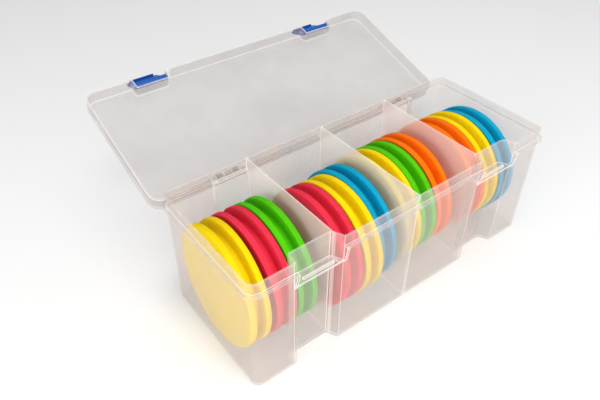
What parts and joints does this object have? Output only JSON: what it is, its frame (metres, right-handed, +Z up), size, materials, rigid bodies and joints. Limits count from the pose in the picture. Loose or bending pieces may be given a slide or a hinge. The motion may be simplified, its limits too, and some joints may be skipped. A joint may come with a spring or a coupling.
{
  "type": "rig storage box",
  "caption": "Clear plastic box with a hinged lid, swing latches and divided compartments that hold foam rig spools on edge.",
  "frame": {"origin": "middle of the tray's underside, on the surface it stands on", "axes": "+X along the box, left to right seen from the latches; +Y from the latch side to the hinge side; +Z up"},
  "size_m": [0.359, 0.3102, 0.1566],
  "materials": {
    "clear_polypropylene": "translucent polypropylene, softly glossy outside",
    "latch_blue": "satin moulded plastic",
    "foam_yellow": "matte closed-cell EVA foam",
    "foam_red": "matte closed-cell EVA foam",
    "foam_green": "matte closed-cell EVA foam",
    "foam_blue": "matte closed-cell EVA foam",
    "foam_orange": "matte closed-cell EVA foam"
  },
  "bodies": {
    "tray": {"tray": "clear_polypropylene"},
    "lid": {"lid": "clear_polypropylene"},
    "latch_left": {"latch_left": "latch_blue"},
    "latch_right": {"latch_right": "latch_blue"},
    "spool_1_yellow": {"spool_1_yellow": "foam_yellow"},
    "spool_2_red": {"spool_2_red": "foam_red"},
    "spool_3_green": {"spool_3_green": "foam_green"},
    "spool_4_red": {"spool_4_red": "foam_red"},
    "spool_5_yellow": {"spool_5_yellow": "foam_yellow"},
    "spool_6_blue": {"spool_6_blue": "foam_blue"},
    "spool_7_yellow": {"spool_7_yellow": "foam_yellow"},
    "spool_8_green": {"spool_8_green": "foam_green"},
    "spool_9_orange": {"spool_9_orange": "foam_orange"},
    "spool_10_orange": {"spool_10_orange": "foam_orange"},
    "spool_11_yellow": {"spool_11_yellow": "foam_yellow"},
    "spool_12_blue": {"spool_12_blue": "foam_blue"}
  },
  "joints": [
    {"name": "lid_hinge", "type": "hinge", "parent": "tray", "child": "lid", "pos_m": [0, 0.0749, 0.1134], "axis": [-1, 0, 0], "range_deg": [-161.2, 0]},
    {"name": "latch_left_pivot", "type": "hinge", "parent": "lid", "child": "latch_left", "pos_m": [-0.10765, 0.21325, 0.14919], "axis": [-1, 0, 0], "range_deg": [-125, 0]},
    {"name": "latch_right_pivot", "type": "hinge", "parent": "lid", "child": "latch_right", "pos_m": [0.10765, 0.21325, 0.14919], "axis": [-1, 0, 0], "range_deg": [-125, 0]},
    {"name": "spool_1_yellow_lift", "type": "slide", "parent": "tray", "child": "spool_1_yellow", "axis": [0, 0, 1], "range_m": [0, 0.15]},
    {"name": "spool_2_red_lift", "type": "slide", "parent": "tray", "child": "spool_2_red", "axis": [0, 0, 1], "range_m": [0, 0.15]},
    {"name": "spool_3_green_lift", "type": "slide", "parent": "tray", "child": "spool_3_green", "axis": [0, 0, 1], "range_m": [0, 0.15]},
    {"name": "spool_4_red_lift", "type": "slide", "parent": "tray", "child": "spool_4_red", "axis": [0, 0, 1], "range_m": [0, 0.15]},
    {"name": "spool_5_yellow_lift", "type": "slide", "parent": "tray", "child": "spool_5_yellow", "axis": [0, 0, 1], "range_m": [0, 0.15]},
    {"name": "spool_6_blue_lift", "type": "slide", "parent": "tray", "child": "spool_6_blue", "axis": [0, 0, 1], "range_m": [0, 0.15]},
    {"name": "spool_7_yellow_lift", "type": "slide", "parent": "tray", "child": "spool_7_yellow", "axis": [0, 0, 1], "range_m": [0, 0.15]},
    {"name": "spool_8_green_lift", "type": "slide", "parent": "tray", "child": "spool_8_green", "axis": [0, 0, 1], "range_m": [0, 0.15]},
    {"name": "spool_9_orange_lift", "type": "slide", "parent": "tray", "child": "spool_9_orange", "axis": [0, 0, 1], "range_m": [0, 0.15]},
    {"name": "spool_10_orange_lift", "type": "slide", "parent": "tray", "child": "spool_10_orange", "axis": [0, 0, 1], "range_m": [0, 0.15]},
    {"name": "spool_11_yellow_lift", "type": "slide", "parent": "tray", "child": "spool_11_yellow", "axis": [0, 0, 1], "range_m": [0, 0.15]},
    {"name": "spool_12_blue_lift", "type": "slide", "parent": "tray", "child": "spool_12_blue", "axis": [0, 0, 1], "range_m": [0, 0.15]}
  ]
}
